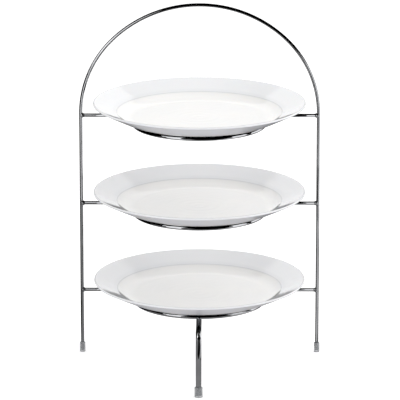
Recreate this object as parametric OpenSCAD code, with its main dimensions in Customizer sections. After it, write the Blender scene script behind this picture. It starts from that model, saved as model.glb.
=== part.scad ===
// Three-tier plate stand: a bent wire arch on two legs carries three wire rings on
// short rods, a third leg steps forward from the bottom ring, and a rimmed porcelain
// plate rests in each ring.
// Millimetres, +Z up. The floor is z = 0, the arch lies in an XZ plane, and the front
// leg points to -Y. The origin is the middle of the footprint, on the floor.

/* [Arch] */
// Diameter of the wire of the arch
frame_wire = 4.2; // [3.5:0.1:6]
// Gap between a plate's rim and the arch's leg, on each side
side_gap = 14.8; // [8:0.1:40]
// Height of the top of the arch above the top ring
handle_rise = 145; // [115:1:200]
// How much larger the crown's radius is than half the span
crown_extra = 7; // [0:0.5:15]

/* [Tiers] */
// Height of the bottom ring's wire above the floor
bottom_tier = 83; // [65:1:120]
// Height from one ring to the next
tier_pitch = 115; // [90:1:160]
// Diameter of a ring, through the middle of its wire
ring_diameter = 165; // [135:1:200]
// Diameter of the rings' wire
ring_wire = 5; // [4:0.1:6.5]
// How far the rings' middle stands in front of the arch
ring_lead = 38; // [10:1:50]
// Diameter of the short rods between the arch and the rings
rod_wire = 4.4; // [3:0.1:5]

/* [Front leg] */
// Diameter of the front leg's rod
leg_wire = 7; // [5:0.1:9]
// How far the leg runs forward of the bottom ring before it turns down
leg_lead = 62.5; // [25:0.5:80]
// How far the leg's end reaches back past the ring's wire
leg_tail = 4; // [3:0.5:10]
// Radius of the turn, to the middle of the rod
leg_bend = 9; // [6:0.5:15]
// How far the whole leg is tipped, so that its run rises and its foot steps forward
leg_tilt = 3.3; // [0:0.1:8]
// How deep the ring's wire is pressed into the leg
leg_press = 1; // [0.2:0.1:1.5]

/* [Foot caps] */
// Wall of a foot cap
cap_wall = 1.5; // [1:0.1:2.5]
// Height of a foot cap
cap_height = 12.5; // [8:0.5:20]
// Thickness of a foot cap's sole
cap_sole = 2; // [1.5:0.1:4]

/* [Plates] */
// Diameter of a plate
plate_diameter = 267; // [230:1:320]
// Height of a plate, from its foot to its lip
plate_height = 27; // [22:0.5:34]
// Width of the rim, from the well to the lip
rim_width = 29.5; // [20:0.5:45]
// Slope of the top of the rim
rim_slope = 23; // [12:1:28]
// Thickness of the lip
lip_thickness = 2.8; // [2:0.1:4]
// Thickness of the plate where the rim meets the well
shoulder_thickness = 4.6; // [3.5:0.1:6]
// Thickness of the well's floor
floor_thickness = 4.6; // [3.5:0.1:6]
// Radius of the well's wall
well_radius = 30; // [20:1:60]
// Height of the foot ring
foot_height = 2.4; // [1.5:0.1:4]
// Width of the foot ring
foot_width = 4; // [3:0.1:6]

/* [Hidden] */
$fn = 96;

BOTTOM = 0;
MIDDLE = 1;
TOP = 2;
LEFT = -1;
RIGHT = 1;

// Clearances and small details
seat_gap = 0.3;     // between a plate and the wire it rests on
foot_gap = 2.5;     // between a plate's foot ring and the inside of the wire ring
joint_gap = 0.05;   // from a length's end to the middle of the ball that joins it
joint_swell = 0.02; // how much larger than the wire that ball is
shoulder_turn = 45; // angle through which each shoulder bends
crown_turn = 90;    // angle through which the crown bends
cap_fit = 0.05;     // between a wire and the bore of its cap, on the radius
cap_round = 1;      // rounding of a cap's sole
cap_edge = 0.5;     // rounding of a cap's mouth
weld_size = 1.1;    // height of a weld bead against the wire that it climbs
weld_length = 2.2;  // length of a weld bead along the rod
weld_edge = 0.15;   // thickness of a bead where it runs out
foot_fillet = 2;    // slope between the foot ring and the underside
under_bulge = 9.5;  // half of the angle over which the underside curves
crease_round = 4;   // rounding of the edge between the rim and the well
crease_trim = 6;    // angle of the well's wall that this rounding takes up

// Radii
frame_r = frame_wire / 2;
ring_r = ring_diameter / 2;
ring_wire_r = ring_wire / 2;
rod_r = rod_wire / 2;
leg_r = leg_wire / 2;
plate_r = plate_diameter / 2;

// The arch: a crown arc between two tighter shoulder arcs, which run into the legs
top_tier = bottom_tier + 2 * tier_pitch;
stand_height = top_tier + handle_rise;
half_span = plate_r + side_gap + frame_r;
crown_r = half_span + crown_extra;
shoulder_r = half_span - crown_extra * sin(shoulder_turn) / (1 - sin(shoulder_turn));
shoulder_x = half_span - shoulder_r;
shoulder_z = stand_height - frame_r - crown_r + (crown_r - shoulder_r) * cos(shoulder_turn);

// The front leg, measured forward of the arch
leg_z = bottom_tier - ring_wire_r - leg_r + leg_press;
leg_corner_z = leg_z + leg_lead * sin(leg_tilt);
leg_foot = ring_lead + ring_r + leg_lead * cos(leg_tilt) + leg_corner_z * tan(leg_tilt);

// The caps
frame_cap_r = frame_r + cap_fit + cap_wall;
leg_cap_r = leg_r + cap_fit + cap_wall;

// The arch stands where the footprint's middle, from the front cap to the plates' backs,
// is the origin
front_reach = leg_foot + leg_cap_r / cos(leg_tilt);
back_reach = plate_r - ring_lead;
arch_y = (front_reach - back_reach) / 2;
ring_y = arch_y - ring_lead;

// The plate's section, from the bottom of its foot
foot_r = ring_r - ring_wire_r - foot_gap;
lip_r = lip_thickness / 2;
lip = [plate_r - lip_r, plate_height - lip_r];
well_edge = plate_r - rim_width;
rim_start = lip + lip_r * [-sin(rim_slope), cos(rim_slope)];
crease = [well_edge, rim_start[1] - (rim_start[0] - well_edge) * tan(rim_slope)];
floor_z = foot_height + floor_thickness;
well_rise = crease[1] - floor_z;
well_turn = acos(1 - well_rise / well_radius);
well_flat = well_edge - well_radius * sin(well_turn);
under_in = [foot_r + foot_fillet, foot_height];
under_out = [well_edge, crease[1] - shoulder_thickness / cos(rim_slope)];
under_chord = under_out - under_in;
under_slope = atan2(under_chord[1], under_chord[0]) - under_bulge;
under_r = norm(under_chord) / (2 * sin(under_bulge));
under_centre = under_in + under_r * [-sin(under_slope), cos(under_slope)];
lip_chord = lip - under_out;
lip_under = atan2(lip_chord[1], lip_chord[0]) - asin(lip_r / norm(lip_chord));

// How far a bead on a ring hangs below the rod, so that it stays under the plate
weld_drop = max(0, rod_r + weld_size - ring_wire_r);

// How far a plate's foot stands above the middle of the wire that its underside rests on
seat = sqrt(pow(under_r + ring_wire_r + seat_gap, 2) - pow(ring_r - under_centre[0], 2))
       - under_centre[1];

// Height of a tier's wire
function tier_z(tier) = bottom_tier + tier * tier_pitch;

// Distance of the arch's wire from the middle at height z
function arch_x(z) = z <= shoulder_z
    ? half_span
    : shoulder_x + sqrt(pow(shoulder_r, 2) - pow(z - shoulder_z, 2));

// Distance from the middle at which a rod's axis meets a ring's wire
function rod_meet() = sqrt(pow(ring_r, 2) - pow(ring_lead, 2));

// Points on an arc about a centre, from one angle to another
function arc(centre, radius, from, to, steps = 10) =
    [for (i = [0:steps])
        let (angle = from + (to - from) * i / steps)
        centre + radius * [cos(angle), sin(angle)]];

// Points that round the corner at b between a and c
function rounded(a, b, c, radius) =
    let (into = (a - b) / norm(a - b),
         out = (c - b) / norm(c - b),
         half = acos(into * out) / 2,
         reach = radius / tan(half),
         middle = b + (into + out) / norm(into + out) * radius / sin(half),
         first = b + into * reach - middle,
         last = b + out * reach - middle,
         from = atan2(first[1], first[0]),
         turn = atan2(first[0] * last[1] - first[1] * last[0], first * last))
    arc(middle, radius, from, from + turn, steps = 4);

// A straight length of wire from the origin along +Z, with the next length at its end.
// A ball, larger than the wire by a hair, joins two lengths.
module straight(length, wire) {
    translate([0, 0, joint_gap])
        cylinder(h = length - 2 * joint_gap, d = wire);
    if ($children > 0)
        translate([0, 0, length]) {
            sphere(d = wire + joint_swell);
            children();
        }
}

// A bend from +Z towards +X, with the next length at its end
module bend(radius, angle, wire) {
    skip = joint_gap / radius * 180 / PI;
    translate([radius, 0, 0]) {
        rotate([90, 0, 180])
            rotate([0, 0, skip])
                rotate_extrude(angle = angle - 2 * skip)
                    translate([radius, 0])
                        circle(d = wire);
        rotate([0, angle, 0])
            translate([-radius, 0, 0]) {
                sphere(d = wire + joint_swell);
                children();
            }
    }
}

// The arch's wire: up the left leg, over the shoulders and the crown, and down the right
module arch_shape() {
    leg = shoulder_z - cap_sole;
    translate([-half_span, arch_y, cap_sole])
        straight(leg, frame_wire)
            bend(shoulder_r, shoulder_turn, frame_wire)
                bend(crown_r, crown_turn, frame_wire)
                    bend(shoulder_r, shoulder_turn, frame_wire)
                        straight(leg, frame_wire);
}

// A ring's wire
module ring_shape(tier) {
    translate([0, ring_y, tier_z(tier)])
        rotate_extrude()
            translate([ring_r, 0])
                circle(d = ring_wire);
}

// A rod's full cylinder, from the ring's wire to the arch's wire
module rod_shape(tier, side) {
    translate([side * rod_meet(), arch_y, tier_z(tier)])
        rotate([0, side * 90, 0])
            cylinder(h = arch_x(tier_z(tier)) - rod_meet(), d = rod_wire);
}

// The front leg's rod: forward under the bottom ring, round the turn and down to its cap
module leg_shape() {
    run = leg_tail + leg_lead - leg_bend;
    drop = leg_corner_z / cos(leg_tilt) - leg_bend - cap_sole;
    translate([0, ring_y - ring_r, leg_z])
        rotate([-leg_tilt, 0, 0])
            rotate([90, 0, 0])
                rotate([0, 0, -90])
                    translate([0, 0, -leg_tail])
                        straight(run, leg_wire)
                            bend(leg_bend, 90, leg_wire)
                                straight(drop, leg_wire);
}

// A cap's outside: round, with a soft edge at its sole and at its mouth
module cap_outline(radius, height) {
    translate([0, cap_round])
        square([radius, height - cap_round - cap_edge]);
    square([radius - cap_round, height]);
    translate([0, height / 2])
        square([radius - cap_edge, height / 2]);
    translate([radius - cap_round, cap_round])
        circle(r = cap_round);
    translate([radius - cap_edge, height - cap_edge])
        circle(r = cap_edge);
}

// A cap for a wire of this diameter; its sole is lower by the drop
module cap_shape(wire, drop = 0) {
    bore = wire / 2 + cap_fit;
    rotate_extrude()
        difference() {
            translate([0, -drop])
                cap_outline(bore + cap_wall, cap_height + drop);
            translate([0, cap_sole])
                square([bore, cap_height]);
        }
}

// A bead on a rod, thickest at the start, which points along +Z
module bead(length) {
    cylinder(h = length, r1 = rod_r + weld_size, r2 = rod_r + weld_edge);
}

module arch_wire() {
    color("silver") arch_shape();
}

module tier_ring(tier) {
    color("silver") ring_shape(tier);
}

// A rod is cut to fit the round of both wires that it is welded to
module tier_rod(tier, side) {
    color("silver")
        difference() {
            rod_shape(tier, side);
            arch_shape();
            ring_shape(tier);
        }
}

// The four beads of one tier: each rod's two ends
module tier_welds(tier) {
    color("darkgray")
        for (side = [LEFT, RIGHT])
            difference() {
                union() {
                    translate([side * rod_meet(), arch_y, tier_z(tier) - weld_drop])
                        rotate([0, side * 90, 0])
                            bead(ring_wire_r * ring_r / rod_meet() + weld_length);
                    translate([side * arch_x(tier_z(tier)), arch_y, tier_z(tier)])
                        rotate([0, -side * 90, 0])
                            bead(frame_r + weld_length);
                }
                rod_shape(tier, side);
                arch_shape();
                ring_shape(tier);
            }
}

// The ring's wire sits in a pressed groove across the top of the leg
module front_leg() {
    color("silver")
        difference() {
            leg_shape();
            ring_shape(BOTTOM);
        }
}

// The bead that fills both sides of the crossing of the leg and the bottom ring
module front_leg_weld() {
    color("darkgray")
        difference() {
            translate([0, ring_y - ring_r, leg_z])
                cylinder(h = bottom_tier - leg_z, r1 = leg_r - weld_edge,
                         r2 = ring_wire_r + weld_edge);
            leg_shape();
            ring_shape(BOTTOM);
        }
}

module arch_foot_cap(side) {
    color("lightgray")
        translate([side * half_span, arch_y, 0])
            cap_shape(frame_wire);
}

// The front cap leans with its leg, and its sole is cut level with the floor
module front_foot_cap() {
    drop = leg_cap_r * tan(leg_tilt) + cap_round;
    below = 2 * (drop + cap_round);
    color("lightgray")
        difference() {
            translate([0, arch_y - leg_foot, 0])
                rotate([-leg_tilt, 0, 0])
                    cap_shape(leg_wire, drop);
            translate([-leg_wire, arch_y - leg_foot - leg_wire, -below])
                cube([2 * leg_wire, 2 * leg_wire, below]);
        }
}

// A plate: foot ring, curved underside, rim with a round lip, and a well inside
module plate(tier) {
    foot_end = foot_width / 2;
    section = concat(
        [[0, foot_height]],
        [[foot_r - foot_width, foot_height]],
        arc([foot_r - foot_end, foot_end], foot_end, 180, 360),
        arc(under_centre, under_r, under_slope - 90, under_slope + 2 * under_bulge - 90),
        arc(lip, lip_r, lip_under - 90, rim_slope + 90),
        rounded(rim_start, crease, crease - [cos(well_turn), sin(well_turn)], crease_round),
        arc([well_flat, floor_z + well_radius], well_radius, well_turn - 90 - crease_trim, -90),
        [[0, floor_z]]);
    color("white")
        translate([0, ring_y, tier_z(tier) + seat])
            rotate_extrude()
                polygon(section);
}

arch_wire();
tier_ring(TOP);  // top_ring
tier_ring(MIDDLE);  // middle_ring
tier_ring(BOTTOM);  // bottom_ring
tier_rod(TOP, LEFT);  // top_left_rod
tier_rod(TOP, RIGHT);  // top_right_rod
tier_rod(MIDDLE, LEFT);  // middle_left_rod
tier_rod(MIDDLE, RIGHT);  // middle_right_rod
tier_rod(BOTTOM, LEFT);  // bottom_left_rod
tier_rod(BOTTOM, RIGHT);  // bottom_right_rod
tier_welds(TOP);  // top_welds
tier_welds(MIDDLE);  // middle_welds
tier_welds(BOTTOM);  // bottom_welds
front_leg();
front_leg_weld();
arch_foot_cap(LEFT);  // left_foot_cap
arch_foot_cap(RIGHT);  // right_foot_cap
front_foot_cap();
plate(TOP);  // top_plate
plate(MIDDLE);  // middle_plate
plate(BOTTOM);  // bottom_plate
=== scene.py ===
"""The looks of a three-tier plate stand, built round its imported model.

A chrome-plated wire frame on three capped feet, with a porcelain plate in each of its rings.
Metres, +Z up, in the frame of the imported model.
"""

import math

import bmesh
import bpy
from mathutils import Matrix, Vector, noise


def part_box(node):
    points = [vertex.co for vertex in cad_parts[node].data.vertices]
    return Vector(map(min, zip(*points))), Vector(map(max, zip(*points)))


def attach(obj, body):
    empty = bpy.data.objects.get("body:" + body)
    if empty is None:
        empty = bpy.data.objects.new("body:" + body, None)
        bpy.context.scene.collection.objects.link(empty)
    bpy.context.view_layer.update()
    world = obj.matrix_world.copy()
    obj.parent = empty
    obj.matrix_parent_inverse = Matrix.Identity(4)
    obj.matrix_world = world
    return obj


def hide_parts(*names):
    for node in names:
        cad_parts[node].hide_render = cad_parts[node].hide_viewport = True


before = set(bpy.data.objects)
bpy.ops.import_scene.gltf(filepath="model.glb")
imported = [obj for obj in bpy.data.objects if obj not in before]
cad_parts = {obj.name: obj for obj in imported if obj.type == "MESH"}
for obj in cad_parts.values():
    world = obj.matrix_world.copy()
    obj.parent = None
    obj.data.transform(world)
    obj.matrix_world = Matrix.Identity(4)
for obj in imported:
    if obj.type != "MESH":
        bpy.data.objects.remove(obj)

bpy.context.view_layer.update()


# ---- The arch -------------------------------------------------------------------------
# One length of round steel wire, bent over a former into a basket arch: two tight
# shoulders run into straight legs, with a flatter crown between them. Bright chrome
# plate over nickel, which keeps a trace of the wire's drawing lines.

arch_low, arch_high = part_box("arch_wire")
arch_wire_radius = 0.0021
arch_plane = (arch_low[1] + arch_high[1]) / 2
arch_half_span = arch_high[0] - arch_wire_radius
crown_radius = 0.1574
shoulder_radius = 0.1335
shoulder_turn = math.radians(45)
crown_middle_z = arch_high[2] - arch_wire_radius - crown_radius
shoulder_middle_x = arch_half_span - shoulder_radius
shoulder_middle_z = crown_middle_z + (crown_radius - shoulder_radius) * math.cos(shoulder_turn)


def pull_wire(name, line, radius, flat, closed=False, round_steps=40):
    """A wire of round section along a line that lies in the plane square to flat."""
    flat = Vector(flat).normalized()
    count = len(line)
    points = []
    faces = []
    stations = [(i, 1.0) for i in range(count)]
    if not closed:
        stations = [(0, 0.8)] + stations + [(count - 1, 0.8)]
    for place, (i, share) in enumerate(stations):
        before = line[(i - 1) % count] if closed or i > 0 else line[i]
        after = line[(i + 1) % count] if closed or i < count - 1 else line[i]
        along = (after - before).normalized()
        side = along.cross(flat)
        middle = line[i].copy()
        if not closed and place == 1:
            middle += along * radius * 0.2
        if not closed and place == len(stations) - 2:
            middle -= along * radius * 0.2
        for k in range(round_steps):
            turn = 2 * math.pi * k / round_steps
            reach = flat * math.cos(turn) + side * math.sin(turn)
            points.append(middle + reach * radius * share)
    last = len(stations) if closed else len(stations) - 1
    for i in range(last):
        a = i * round_steps
        b = (i + 1) % len(stations) * round_steps
        for k in range(round_steps):
            n = (k + 1) % round_steps
            faces.append((a + k, a + n, b + n, b + k))
    if not closed:
        end = (len(stations) - 1) * round_steps
        faces.append(tuple(reversed(range(round_steps))))
        faces.append(tuple(range(end, end + round_steps)))
    wire = bpy.data.meshes.new(name)
    wire.from_pydata(points, [], faces)
    wire.update()
    tidy = bmesh.new()
    tidy.from_mesh(wire)
    bmesh.ops.recalc_face_normals(tidy, faces=tidy.faces)
    tidy.to_mesh(wire)
    tidy.free()
    wire.polygons.foreach_set("use_smooth", [True] * len(wire.polygons))
    piece = bpy.data.objects.new(name, wire)
    bpy.context.collection.objects.link(piece)
    return piece


def new_finish(name):
    """A material with its nodes, its links and its shader."""
    finish = bpy.data.materials.new(name)
    finish.use_nodes = True
    nodes = finish.node_tree.nodes
    return finish, nodes, finish.node_tree.links, nodes["Principled BSDF"]


def speckle(nodes, links, place, scale, detail, low, high, out_low, out_high):
    """Noise at a scale per metre, spread from low-high of the noise to an outgoing range."""
    grain = nodes.new("ShaderNodeTexNoise")
    grain.inputs["Scale"].default_value = scale
    grain.inputs["Detail"].default_value = detail
    links.new(place, grain.inputs["Vector"])
    spread = nodes.new("ShaderNodeMapRange")
    spread.inputs["From Min"].default_value = low
    spread.inputs["From Max"].default_value = high
    spread.inputs["To Min"].default_value = out_low
    spread.inputs["To Max"].default_value = out_high
    links.new(grain.outputs["Fac"], spread.inputs["Value"])
    return spread.outputs["Result"]


def two_tones(nodes, links, share, first, second):
    """A colour between two, by a share."""
    tones = nodes.new("ShaderNodeMix")
    tones.data_type = "RGBA"
    tones.inputs["A"].default_value = (*first, 1)
    tones.inputs["B"].default_value = (*second, 1)
    links.new(share, tones.inputs["Factor"])
    return tones.outputs["Result"]


def raised(nodes, links, height, depth, strength, under=None):
    """A bump of that depth in metres, on top of another one if there is one."""
    relief = nodes.new("ShaderNodeBump")
    relief.inputs["Distance"].default_value = depth
    relief.inputs["Strength"].default_value = strength
    links.new(height, relief.inputs["Height"])
    if under is not None:
        links.new(under, relief.inputs["Normal"])
    return relief.outputs["Normal"]


def chrome_plate(name, light, dark, polish, haze, ripple):
    """Bright plating: a ripple left by the wire, fine pits, and hazy patches."""
    finish, nodes, links, shader = new_finish(name)
    place = nodes.new("ShaderNodeTexCoord").outputs["Object"]
    tint = speckle(nodes, links, place, 45, 3, 0.35, 0.7, 0, 1)
    links.new(two_tones(nodes, links, tint, light, dark), shader.inputs["Base Color"])
    dull = speckle(nodes, links, place, 160, 4, 0.45, 0.8, polish, haze)
    links.new(dull, shader.inputs["Roughness"])
    swell = speckle(nodes, links, place, 95, 1, 0.2, 0.8, 0, 1)
    pits = speckle(nodes, links, place, 2600, 2, 0.6, 0.75, 1, 0)
    shape = raised(nodes, links, swell, ripple, 1.0)
    shape = raised(nodes, links, pits, 0.000004, 0.5, shape)
    links.new(shape, shader.inputs["Normal"])
    shader.inputs["Metallic"].default_value = 1.0
    shader.inputs["Specular Tint"].default_value = (0.42, 0.42, 0.44, 1)
    return finish


bright_chrome = chrome_plate(
    "bright_chrome", (0.52, 0.525, 0.54), (0.44, 0.445, 0.46), 0.03, 0.10, 0.00003
)


def swing(middle, radius, start, end, steps, across, up):
    """Points on an arc about a middle, from one angle to another, in the plane of two axes."""
    across = Vector(across)
    up = Vector(up)
    angles = [start + (end - start) * i / steps for i in range(steps + 1)]
    return [middle + radius * (across * math.cos(a) + up * math.sin(a)) for a in angles]


arch_foot_z = arch_low[2]
along_x = (1, 0, 0)
along_y = (0, 1, 0)
along_z = (0, 0, 1)
left_shoulder = Vector((-shoulder_middle_x, arch_plane, shoulder_middle_z))
right_shoulder = Vector((shoulder_middle_x, arch_plane, shoulder_middle_z))
crown_middle = Vector((0, arch_plane, crown_middle_z))
half_turn = math.pi
arch_line = [Vector((-arch_half_span, arch_plane, arch_foot_z))]
arch_line += swing(left_shoulder, shoulder_radius, half_turn, half_turn - shoulder_turn, 48,
                   along_x, along_z)
arch_line += swing(crown_middle, crown_radius, half_turn - shoulder_turn, shoulder_turn, 96,
                   along_x, along_z)[1:]
arch_line += swing(right_shoulder, shoulder_radius, shoulder_turn, 0, 48,
                   along_x, along_z)[1:]
arch_line += [Vector((arch_half_span, arch_plane, arch_foot_z))]
arch = pull_wire("arch", arch_line, arch_wire_radius, along_y)
arch.data.materials.append(bright_chrome)
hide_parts("arch_wire")
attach(arch, "stand")


# ---- The rings ------------------------------------------------------------------------
# Three rings of thicker wire, each bent round, butt-welded, ground flush and plated.
# They lie level in front of the arch, one above the other.

ring_wire_radius = 0.0025
tiers = ("bottom", "middle", "top")
ring_middle = {}
for tier in tiers:
    ring_low, ring_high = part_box(tier + "_ring")
    ring_radius = (ring_high[1] - ring_low[1]) / 2 - ring_wire_radius
    middle = (ring_low + ring_high) / 2
    middle.x = 0
    ring_middle[tier] = middle
    ring_line = swing(middle, ring_radius, 0, 2 * math.pi, 240, along_x, along_y)[:-1]
    ring = pull_wire(tier + "_wire_ring", ring_line, ring_wire_radius, along_z, closed=True)
    ring.data.materials.append(bright_chrome)
    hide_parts(tier + "_ring")
    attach(ring, "stand")


# ---- The short rods and their beads ---------------------------------------------------
# A short rod joins each side of a ring to the arch's leg. Its ends are cut to the round
# of both wires and welded all round, which leaves a small uneven bead under the plating.

rod_radius = 0.0022
rod_inset = 0.0011
bead_drop = 0.0011
rod_meets_ring = math.sqrt(ring_radius**2 - (arch_plane - ring_middle["top"].y) ** 2)
bead_shape = ((0.0, 0.0028), (0.0004, 0.0032), (0.0013, 0.00335), (0.0022, 0.0031),
              (0.0030, 0.00265), (0.0038, 0.00238), (0.0045, 0.00226), (0.0047, 0.0019))


def lay_bead(mesh, start, along, shape, seed, lump, round_steps=40):
    """Adds a weld bead round a rod, from a start point along a direction."""
    along = Vector(along).normalized()
    up = Vector(along_y) if abs(along.z) > 0.5 else Vector(along_z)
    side = along.cross(up)
    rows = []
    for reach, radius in shape:
        row = []
        for k in range(round_steps):
            turn = 2 * math.pi * k / round_steps
            out = up * math.cos(turn) + side * math.sin(turn)
            spot = start + along * reach + out * radius
            rise = lump * noise.noise(spot * 700 + Vector((seed, 0, 0)))
            row.append(mesh.verts.new(spot + out * rise))
        rows.append(row)
    for first, second in zip(rows, rows[1:]):
        for k in range(round_steps):
            n = (k + 1) % round_steps
            mesh.faces.new((first[k], first[n], second[n], second[k]))
    mesh.faces.new(rows[0])
    mesh.faces.new(rows[-1])


def weld_piece(name, mesh):
    """The beads in this mesh as one piece."""
    bmesh.ops.recalc_face_normals(mesh, faces=mesh.faces)
    bead = bpy.data.meshes.new(name)
    mesh.to_mesh(bead)
    mesh.free()
    bead.polygons.foreach_set("use_smooth", [True] * len(bead.polygons))
    piece = bpy.data.objects.new(name, bead)
    bpy.context.collection.objects.link(piece)
    return piece


plated_bead = chrome_plate(
    "plated_bead", (0.46, 0.465, 0.48), (0.34, 0.345, 0.36), 0.12, 0.30, 0.00012
)
for tier in tiers:
    tier_z = ring_middle[tier].z
    beads = bmesh.new()
    for side, word in ((-1, "left"), (1, "right")):
        inner = Vector((side * rod_meets_ring, arch_plane, tier_z))
        outer = Vector((side * (arch_half_span - rod_inset), arch_plane, tier_z))
        rod = pull_wire(tier + "_" + word + "_short_rod", [inner, outer], rod_radius, along_y)
        rod.data.materials.append(bright_chrome)
        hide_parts(tier + "_" + word + "_rod")
        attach(rod, "stand")
        arch_side = Vector((side * arch_half_span, arch_plane, tier_z))
        lay_bead(beads, arch_side, (-side, 0, 0), bead_shape, side + tier_z * 9, 0.0003)
        under_plate = inner - Vector((0, 0, bead_drop))
        lay_bead(beads, under_plate, (side, 0, 0), bead_shape, side * 3 + tier_z * 7, 0.0002)
    welds = weld_piece(tier + "_rod_welds", beads)
    welds.data.materials.append(plated_bead)
    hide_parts(tier + "_welds")
    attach(welds, "stand")


# ---- The front leg --------------------------------------------------------------------
# A thicker rod, welded under the front of the bottom ring. It runs forward, turns down
# round a tight bend and ends in its cap. The whole leg is tipped a little, so that the
# foot stands further forward than the bend.

leg_radius = 0.0035
leg_tip = math.radians(3.3)
leg_run = 0.0625
leg_tail = 0.004
leg_bend = 0.009
leg_sole = 0.002
leg_under_ring = 0.005
leg_forward = Vector((0, -math.cos(leg_tip), math.sin(leg_tip)))
leg_down = Vector((0, -math.sin(leg_tip), -math.cos(leg_tip)))
ring_front = ring_middle["bottom"] - Vector((0, ring_radius, 0))
leg_crossing = ring_front - Vector((0, 0, leg_under_ring))
leg_corner = leg_crossing + leg_forward * leg_run
leg_drop = leg_corner.z / math.cos(leg_tip) - leg_sole
bend_middle = leg_corner - leg_forward * leg_bend + leg_down * leg_bend
leg_line = [leg_crossing - leg_forward * leg_tail]
leg_line += swing(bend_middle, leg_bend, half_turn / 2, 0, 32, leg_forward, -leg_down)
leg_line += [leg_corner + leg_down * leg_drop]
leg = pull_wire("front_leg_rod", leg_line, leg_radius, along_x)
leg.data.materials.append(bright_chrome)
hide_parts("front_leg")
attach(leg, "stand")

crossing_shape = ((0.0, 0.0029), (0.0012, 0.0032), (0.0024, 0.0031), (0.0036, 0.0027),
                  (0.0044, 0.0025), (0.0048, 0.0022))
crossing_bead = bmesh.new()
lay_bead(crossing_bead, leg_crossing, along_z, crossing_shape, 21, 0.00025)
leg_weld = weld_piece("front_leg_bead", crossing_bead)
leg_weld.data.materials.append(plated_bead)
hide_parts("front_leg_weld")
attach(leg_weld, "stand")


# ---- The foot caps --------------------------------------------------------------------
# Three dipped caps of soft clear vinyl, pushed onto the ends of the legs. The wire shows
# through the wall, and the sole is thicker than the wall.

cap_wall = 0.0015
cap_fit = 0.00005
cap_height = 0.0125
cap_sole = 0.002
cap_sole_round = 0.0009
cap_mouth_round = 0.0006
cap_lip_round = 0.0003
cap_floor_round = 0.0005
cap_floor_dip = 0.0001


def turn_round(name, outline, round_steps=96):
    """A piece of revolution about Z; points of the outline with no radius are on the axis."""
    turned = bmesh.new()
    rows = []
    for radius, height in outline:
        if radius < 1e-7:
            rows.append([turned.verts.new((0, 0, height))])
            continue
        row = []
        for k in range(round_steps):
            turn = 2 * math.pi * k / round_steps
            row.append(turned.verts.new((radius * math.cos(turn), radius * math.sin(turn), height)))
        rows.append(row)
    for first, second in zip(rows, rows[1:]):
        for k in range(round_steps):
            n = (k + 1) % round_steps
            corners = [first[k % len(first)], first[n % len(first)],
                       second[n % len(second)], second[k % len(second)]]
            turned.faces.new(list(dict.fromkeys(corners)))
    bmesh.ops.recalc_face_normals(turned, faces=turned.faces)
    mesh = bpy.data.meshes.new(name)
    turned.to_mesh(mesh)
    turned.free()
    mesh.polygons.foreach_set("use_smooth", [True] * len(mesh.polygons))
    piece = bpy.data.objects.new(name, mesh)
    bpy.context.collection.objects.link(piece)
    return piece


def fillet(middle_radius, middle_height, radius, start, end, steps):
    """Points of an outline round a corner, with the angles in degrees."""
    angles = [math.radians(start + (end - start) * i / steps) for i in range(steps + 1)]
    return [(middle_radius + radius * math.cos(a), middle_height + radius * math.sin(a))
            for a in angles]


def cap_outline(wire_radius, below):
    """From the middle of the sole, out and up the wall, over the mouth and down the bore."""
    bore = wire_radius + cap_fit
    outer = bore + cap_wall
    outline = [(0.0, -below), (outer * 0.5, -below)]
    outline += fillet(outer - cap_sole_round, cap_sole_round - below, cap_sole_round, -90, 0, 8)
    outline += fillet(outer - cap_mouth_round, cap_height - cap_mouth_round, cap_mouth_round,
                      0, 90, 6)
    outline += fillet(bore + cap_lip_round, cap_height - cap_lip_round, cap_lip_round, 90, 180, 4)
    outline += [(bore, cap_sole + cap_floor_round + cap_floor_dip)]
    outline += fillet(bore - cap_floor_round, cap_sole + cap_floor_round, cap_floor_round,
                      0, -90, 4)
    outline += [(0.0, cap_sole)]
    return outline


def clear_vinyl(name):
    """Soft see-through vinyl: a faint smoky tint, a satin skin and small ripples from dipping."""
    finish, nodes, links, shader = new_finish(name)
    place = nodes.new("ShaderNodeTexCoord").outputs["Object"]
    cloud = speckle(nodes, links, place, 320, 3, 0.3, 0.7, 0, 1)
    links.new(two_tones(nodes, links, cloud, (0.66, 0.67, 0.68), (0.56, 0.57, 0.58)),
              shader.inputs["Base Color"])
    links.new(speckle(nodes, links, place, 700, 2, 0.3, 0.7, 0.14, 0.26),
              shader.inputs["Roughness"])
    drips = nodes.new("ShaderNodeMapping")
    drips.inputs["Scale"].default_value = (1, 1, 0.15)
    links.new(place, drips.inputs["Vector"])
    streaks = speckle(nodes, links, drips.outputs["Vector"], 700, 1, 0.3, 0.7, 0, 1)
    links.new(raised(nodes, links, streaks, 0.00008, 0.5), shader.inputs["Normal"])
    shader.inputs["Transmission Weight"].default_value = 0.72
    shader.inputs["IOR"].default_value = 1.46
    return finish


vinyl = clear_vinyl("clear_vinyl_cap")
for side, word in ((-1, "left"), (1, "right")):
    cap = turn_round(word + "_vinyl_cap", cap_outline(arch_wire_radius, 0))
    cap.location = (side * arch_half_span, arch_plane, 0)
    cap.data.materials.append(vinyl)
    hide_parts(word + "_foot_cap")
    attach(cap, "stand")

leg_foot = leg_corner + leg_down * (leg_drop + leg_sole)
front_cap = turn_round("front_vinyl_cap", cap_outline(leg_radius, cap_sole_round))
front_cap.data.transform(Matrix.Rotation(-leg_tip, 4, "X"))
front_cap.data.transform(Matrix.Translation(leg_foot))
for corner in front_cap.data.vertices:
    corner.co.z = max(corner.co.z, 0)
front_cap.data.materials.append(vinyl)
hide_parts("front_foot_cap")
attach(front_cap, "stand")


# ---- The plates -----------------------------------------------------------------------
# Three rimmed plates of white porcelain, shaped on a wheel, glazed all over and then
# wiped clean at the foot, which stays bare and matt. Each rests in its ring by the curve
# of its underside, with its foot inside the ring.

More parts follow.
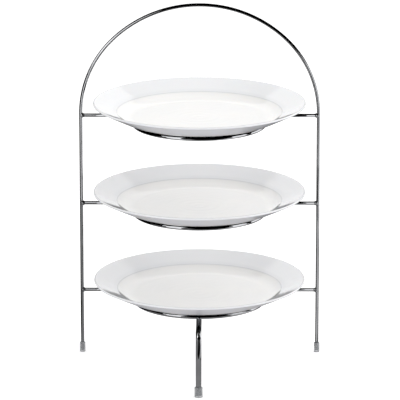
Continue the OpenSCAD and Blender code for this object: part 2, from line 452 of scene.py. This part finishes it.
plate_radius = 0.13348
plate_height = 0.027
rim_slope = 23
lip_radius = 0.0014
shoulder_depth = 0.0046
foot_height = 0.0024
foot_width = 0.004
foot_radius = 0.0775
floor_height = 0.007
well_radius = 0.030
well_edge = 0.104
underside_bulge = 9.5
shoulder_start = 0.93
shoulder_reach = 0.0022
shoulder_curve = 6
foot_round = 0.001
crease_height = plate_height - lip_radius + lip_radius * math.cos(math.radians(rim_slope))
crease_height -= (plate_radius - lip_radius - lip_radius * math.sin(math.radians(rim_slope))
                  - well_edge) * math.tan(math.radians(rim_slope))
well_turn = math.degrees(math.acos(1 - (crease_height - floor_height) / well_radius))
well_flat = well_edge - well_radius * math.sin(math.radians(well_turn))
ripple_height = 0.00004
ripple_width = 0.013
ripple_spread = 0.038


def plate_outline():
    """From the middle of the underside, out over the foot, up to the lip, and back inside."""
    half_foot = foot_width / 2
    under = [(0.0, foot_height), (0.02, foot_height), (0.04, foot_height), (0.06, foot_height)]
    under += fillet(foot_radius - foot_width - foot_round, foot_height - foot_round, foot_round,
                    90, 20, 4)
    foot = fillet(foot_radius - half_foot, half_foot, half_foot, 190, 350, 16)
    start = Vector((foot_radius + 0.002, foot_height))
    end = Vector((well_edge, crease_height - shoulder_depth / math.cos(math.radians(rim_slope))))
    bulge = math.radians(underside_bulge)
    chord = end - start
    slope = math.atan2(chord.y, chord.x) - bulge
    curve = chord.length / (2 * math.sin(bulge))
    middle = start + curve * Vector((-math.sin(slope), math.cos(slope)))
    outside = fillet(middle.x, middle.y, curve, math.degrees(slope) - 90,
                     math.degrees(slope + 2 * bulge) - 90, 20)
    lip = (plate_radius - lip_radius, plate_height - lip_radius)
    reach = Vector(lip) - end
    lean = math.degrees(math.atan2(reach.y, reach.x) - math.asin(lip_radius / reach.length))
    lip_round = fillet(*lip, lip_radius, lean - 90, rim_slope + 90, 24)
    inner = Vector(lip_round[-1])
    crease = Vector((well_edge, crease_height))
    rim = [tuple(inner.lerp(crease, i / 12)) for i in range(1, 11)]
    turn = math.radians(well_turn)
    wall = crease - Vector((math.cos(turn), math.sin(turn))) * shoulder_reach
    shoulder_in = inner.lerp(crease, shoulder_start)
    shoulder = [tuple(shoulder_in.lerp(crease, t).lerp(crease.lerp(wall, t), t))
                for t in (0, 0.2, 0.4, 0.6, 0.8, 1)]
    well_start = well_turn - shoulder_curve - 90
    well = fillet(well_flat, floor_height + well_radius, well_radius, well_start, -90, 22)
    floor = []
    steps = 84
    for i in range(1, steps + 1):
        radius = well_flat * (1 - i / steps)
        wave = math.cos(2 * math.pi * radius / ripple_width)
        fade = math.exp(-((radius / ripple_spread) ** 2))
        floor.append((radius, floor_height + ripple_height * wave * fade))
    floor[-1] = (0.0, floor[-1][1])
    return under, foot, outside + lip_round + rim + shoulder + well + floor


def off_axis(nodes, links, place):
    """How far a spot of a plate is from its axis."""
    split = nodes.new("ShaderNodeSeparateXYZ")
    links.new(place, split.inputs["Vector"])
    flat_place = nodes.new("ShaderNodeCombineXYZ")
    links.new(split.outputs["X"], flat_place.inputs["X"])
    links.new(split.outputs["Y"], flat_place.inputs["Y"])
    reach = nodes.new("ShaderNodeVectorMath")
    reach.operation = "LENGTH"
    links.new(flat_place.outputs["Vector"], reach.inputs[0])
    return reach.outputs["Value"]


def painted_light_and_shade_band(nodes, links, from_axis, body, middle, width, tone):
    """A ring of painted light or painted shade, by its tone, fading out to each side."""
    away = nodes.new("ShaderNodeMath")
    away.operation = "SUBTRACT"
    away.inputs[1].default_value = middle
    links.new(from_axis, away.inputs[0])
    apart = nodes.new("ShaderNodeMath")
    apart.operation = "ABSOLUTE"
    links.new(away.outputs["Value"], apart.inputs[0])
    fade = nodes.new("ShaderNodeMapRange")
    fade.interpolation_type = "SMOOTHSTEP"
    fade.inputs["From Min"].default_value = 0.0
    fade.inputs["From Max"].default_value = width
    fade.inputs["To Min"].default_value = 0.75
    fade.inputs["To Max"].default_value = 0.0
    links.new(apart.outputs["Value"], fade.inputs["Value"])
    band = nodes.new("ShaderNodeMix")
    band.data_type = "RGBA"
    band.inputs["B"].default_value = (*tone, 1)
    links.new(fade.outputs["Result"], band.inputs["Factor"])
    links.new(body, band.inputs["A"])
    return band.outputs["Result"]


def glazed_porcelain(name):
    """Warm white clay under a clear glaze that pooled a little unevenly, with painted light and
    shade: a cooler rim and rings of painted light, shade and reflection.
    """
    finish, nodes, links, shader = new_finish(name)
    place = nodes.new("ShaderNodeTexCoord").outputs["Object"]
    cloud = speckle(nodes, links, place, 18, 3, 0.35, 0.65, 0, 1)
    # The rim is painted a cooler white than the well: painted shade, not a colour of the glaze.
    well_tone = two_tones(nodes, links, cloud, (0.885, 0.877, 0.86), (0.865, 0.862, 0.852))
    rim_painted_cool_shade = two_tones(nodes, links, cloud, (0.885, 0.89, 0.90), (0.868, 0.875, 0.888))
    speck = speckle(nodes, links, place, 1500, 1, 0.80, 0.84, 0, 0.5)
    flecked = nodes.new("ShaderNodeMix")
    flecked.data_type = "RGBA"
    flecked.inputs["B"].default_value = (0.55, 0.50, 0.44, 1)
    from_axis = off_axis(nodes, links, place)
    on_rim = nodes.new("ShaderNodeMath")
    on_rim.operation = "GREATER_THAN"
    on_rim.inputs[1].default_value = well_edge
    links.new(from_axis, on_rim.inputs[0])
    rim_or_well = nodes.new("ShaderNodeMix")
    rim_or_well.data_type = "RGBA"
    links.new(on_rim.outputs["Value"], rim_or_well.inputs["Factor"])
    links.new(well_tone, rim_or_well.inputs["A"])
    links.new(rim_painted_cool_shade, rim_or_well.inputs["B"])
    body = rim_or_well.outputs["Result"]
    # Painted light and shade in rings: a bright band of painted light on the well's wall just inside
    # the crease, a band of painted shade on the rim just outside it, a thin dark painted reflection
    # line along the crease, and a dark painted reflection line round the top of the lip.
    for middle, width, tone in ((well_edge - 0.0100, 0.0140, (0.99, 0.985, 0.97)),
                                (well_edge + 0.0022, 0.0050, (0.83, 0.84, 0.855)),
                                (well_edge, 0.0010, (0.66, 0.665, 0.68)),
                                (plate_radius - 0.0012, 0.0008, (0.42, 0.42, 0.43))):
        body = painted_light_and_shade_band(nodes, links, from_axis, body, middle, width, tone)
    links.new(body, flecked.inputs["A"])
    links.new(speck, flecked.inputs["Factor"])
    links.new(flecked.outputs["Result"], shader.inputs["Base Color"])
    links.new(speckle(nodes, links, place, 55, 4, 0.4, 0.75, 0.07, 0.17),
              shader.inputs["Roughness"])
    pooled = speckle(nodes, links, place, 28, 2, 0.2, 0.8, 0, 1)
    peel = speckle(nodes, links, place, 420, 2, 0.3, 0.7, 0, 1)
    rings = nodes.new("ShaderNodeTexWave")
    rings.wave_type = "RINGS"
    rings.rings_direction = "Z"
    rings.inputs["Scale"].default_value = 42
    rings.inputs["Distortion"].default_value = 3.0
    links.new(place, rings.inputs["Vector"])
    shape = raised(nodes, links, pooled, 0.00025, 0.6)
    shape = raised(nodes, links, rings.outputs["Fac"], 0.00003, 0.5, shape)
    shape = raised(nodes, links, peel, 0.000006, 0.5, shape)
    links.new(shape, shader.inputs["Normal"])
    shader.inputs["IOR"].default_value = 1.52
    shader.inputs["Specular IOR Level"].default_value = 0.5
    shader.inputs["Subsurface Weight"].default_value = 0.06
    shader.inputs["Subsurface Radius"].default_value = (0.004, 0.003, 0.002)
    return finish


def bare_foot(name):
    """Unglazed porcelain, matt and a little sandy, greyed where it has been dragged about."""
    finish, nodes, links, shader = new_finish(name)
    place = nodes.new("ShaderNodeTexCoord").outputs["Object"]
    rubbed = speckle(nodes, links, place, 240, 5, 0.45, 0.75, 0, 1)
    links.new(two_tones(nodes, links, rubbed, (0.78, 0.75, 0.69), (0.55, 0.53, 0.50)),
              shader.inputs["Base Color"])
    grit = speckle(nodes, links, place, 3200, 3, 0.3, 0.7, 0, 1)
    links.new(raised(nodes, links, grit, 0.00005, 0.7), shader.inputs["Normal"])
    links.new(speckle(nodes, links, place, 500, 2, 0.3, 0.7, 0.55, 0.8),
              shader.inputs["Roughness"])
    return finish


glaze = glazed_porcelain("glazed_porcelain")
bisque = bare_foot("bare_foot_ring")
under, foot, upper = plate_outline()
plates = []
for tier in tiers:
    plate = turn_round(tier + "_porcelain_plate", under + foot + upper, 256)
    plate_low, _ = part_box(tier + "_plate")
    plate.location = (0, ring_middle[tier].y, plate_low[2])
    plate.data.materials.append(glaze)
    plate.data.materials.append(bisque)
    for face in plate.data.polygons:
        height = face.center.z
        radius = math.hypot(face.center.x, face.center.y)
        if height < 0.0009 and radius < foot_radius:
            face.material_index = 1
    plate.visible_glossy = False
    plates.append(plate)
    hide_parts(tier + "_plate")
    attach(plate, tier + "_plate_body")


# ---- The studio -----------------------------------------------------------------------
# A pale floor in a tent of even light, with soft lights from the right and the front.
# Cards that only the shine sees draw the streaks in the chrome, and a round white wall
# is seen by the glaze alone.

floor_half = 9.0
floor_sheet = bmesh.new()
bmesh.ops.create_grid(floor_sheet, x_segments=8, y_segments=8, size=floor_half)
floor_mesh = bpy.data.meshes.new("studio_floor")
floor_sheet.to_mesh(floor_mesh)
floor_sheet.free()
studio_floor = bpy.data.objects.new("studio_floor", floor_mesh)
bpy.context.collection.objects.link(studio_floor)
pale, pale_nodes, pale_links, pale_shader = new_finish("pale_floor")
pale_place = pale_nodes.new("ShaderNodeTexCoord").outputs["Object"]
pale_cloud = speckle(pale_nodes, pale_links, pale_place, 3, 2, 0.3, 0.7, 0, 1)
pale_tone = two_tones(pale_nodes, pale_links, pale_cloud, (0.95, 0.95, 0.95), (0.93, 0.93, 0.93))
pale_links.new(pale_tone, pale_shader.inputs["Base Color"])
pale_shader.inputs["Roughness"].default_value = 0.9
pale_shader.inputs["Specular IOR Level"].default_value = 0.0
pale_shader.inputs["Emission Color"].default_value = (1, 1, 1, 1)
pale_shader.inputs["Emission Strength"].default_value = 0.32
floor_mesh.materials.append(pale)
studio_floor.visible_glossy = False
studio_floor.visible_diffuse = False


def shine_only(name, sheet, glow):
    """The sheet as a glowing thing that nothing but the shine of the object sees."""
    glow_mesh = bpy.data.meshes.new(name)
    sheet.to_mesh(glow_mesh)
    sheet.free()
    thing = bpy.data.objects.new(name, glow_mesh)
    bpy.context.collection.objects.link(thing)
    lit, _, _, lit_shader = new_finish(name)
    lit_shader.inputs["Base Color"].default_value = (0, 0, 0, 1)
    lit_shader.inputs["Specular IOR Level"].default_value = 0.0
    lit_shader.inputs["Emission Color"].default_value = (1, 1, 1, 1)
    lit_shader.inputs["Emission Strength"].default_value = glow
    glow_mesh.materials.append(lit)
    thing.visible_camera = False
    thing.visible_diffuse = False
    thing.visible_transmission = False
    thing.visible_shadow = False
    return thing


def glow_card(name, place, aim, width, height, glow):
    """A card turned to an aim point."""
    sheet = bmesh.new()
    bmesh.ops.create_grid(sheet, x_segments=1, y_segments=1, size=0.5)
    card = shine_only(name, sheet, glow)
    card.location = place
    card.scale = (width, height, 1)
    card.rotation_euler = (Vector(aim) - Vector(place)).to_track_quat("-Z", "Y").to_euler()
    return card


def table_card(name, across, along, width, height, glow, slant=0):
    """A card that lies just under the table top, turned by a slant in degrees."""
    under_table = -0.002
    card = glow_card(name, (across, along, under_table), (across, along, -1), width, height, glow)
    card.rotation_euler.z += math.radians(slant)


table_card("foot_card", 0, -0.16, 0.22, 0.18, 0.36)
table_card("left_table_card", -0.30, -0.25, 0.40, 0.50, 0.28)
table_card("far_table_card", -0.28, -0.85, 0.28, 0.70, 0.50)
table_card("back_table_card", -0.04, 0.275, 0.28, 0.65, 0.28)
table_card("right_table_card", 0.56, -0.08, 0.88, 0.24, 0.80)
table_card("slant_table_card", 0.80, -0.33, 1.10, 0.28, 1.25, -25)
glow_card("near_left_card", (-0.175, -0.20, 0.30), (-0.175, 1, 0.30), 0.15, 0.50, 1.60)
glow_card("near_right_card", (0.36, -0.14, 0.29), (0.15, 0.05, 0.29), 0.20, 0.34, 1.60)
glow_card("left_front_card", (-0.95, -0.85, 0.75), (0, 0, 0.30), 0.80, 0.50, 2.20)
glow_card("right_card", (0.95, 0.45, 0.20), (0, 0.05, 0.25), 0.70, 0.80, 1.80)

wall_radius = 3.0
wall_height = 2.6
wall = bmesh.new()
bmesh.ops.create_cone(wall, cap_ends=False, segments=64, radius1=wall_radius,
                      radius2=wall_radius, depth=wall_height)
white_walls = shine_only("white_walls", wall, 1.05)
white_walls.location = (0, 0, wall_height / 2)
glazed_pieces = bpy.data.collections.new("glazed_pieces")
for plate in plates:
    glazed_pieces.objects.link(plate)
white_walls.light_linking.receiver_collection = glazed_pieces


def soft_light(name, place, width, height, power):
    """A soft light aimed at the stand, which the shine doesn't see."""
    lamp = bpy.data.lights.new(name, "AREA")
    lamp.shape = "RECTANGLE"
    lamp.size = width
    lamp.size_y = height
    lamp.energy = power
    light = bpy.data.objects.new(name, lamp)
    bpy.context.collection.objects.link(light)
    light.location = place
    light.rotation_euler = (Vector((0, 0, 0.2)) - light.location).to_track_quat("-Z", "Y").to_euler()
    light.visible_camera = False
    light.visible_glossy = False


soft_light("key_light", (1.25, 0.30, 1.30), 1.2, 1.0, 6.5)
soft_light("front_light", (0.0, -1.9, 1.3), 2.0, 1.0, 4.5)

tent = bpy.data.worlds.new("studio_tent")
tent.use_nodes = True
bpy.context.scene.world = tent
tent.cycles_visibility.glossy = False
tent_nodes = tent.node_tree.nodes
tent_links = tent.node_tree.links
way = tent_nodes.new("ShaderNodeSeparateXYZ")
tent_links.new(tent_nodes.new("ShaderNodeTexCoord").outputs["Generated"], way.inputs["Vector"])
over = tent_nodes.new("ShaderNodeMapRange")
over.inputs["From Min"].default_value = -0.25
over.inputs["From Max"].default_value = 0.0
tent_links.new(way.outputs["Z"], over.inputs["Value"])
tent_tone = two_tones(tent_nodes, tent_links, over.outputs["Result"],
                      (0.88, 0.87, 0.91), (1.0, 1.0, 1.0))
tent_links.new(tent_tone, tent_nodes["Background"].inputs["Color"])
tent_nodes["Background"].inputs["Strength"].default_value = 0.93
bpy.context.scene.view_settings.view_transform = "Standard"


# ---- The camera -----------------------------------------------------------------------
# A long lens a few metres off, a little above the top plate and square to the arch.

camera_distance = 5.0
camera_height = math.radians(15.3)
camera_turn = math.radians(0.4)
camera_aim = Vector((0.0005, arch_plane, 0.2019))
camera_back = Vector((math.cos(camera_height) * math.sin(camera_turn),
                      -math.cos(camera_height) * math.cos(camera_turn), math.sin(camera_height)))
lens = bpy.data.cameras.new("studio_camera")
lens.lens = 353.6
lens.sensor_width = 36
lens.clip_start = 0.1
lens.clip_end = 60
camera = bpy.data.objects.new("studio_camera", lens)
bpy.context.collection.objects.link(camera)
camera.location = camera_aim + camera_back * camera_distance
camera.rotation_euler = (-camera_back).to_track_quat("-Z", "Y").to_euler()
bpy.context.scene.camera = camera

bpy.context.view_layer.update()
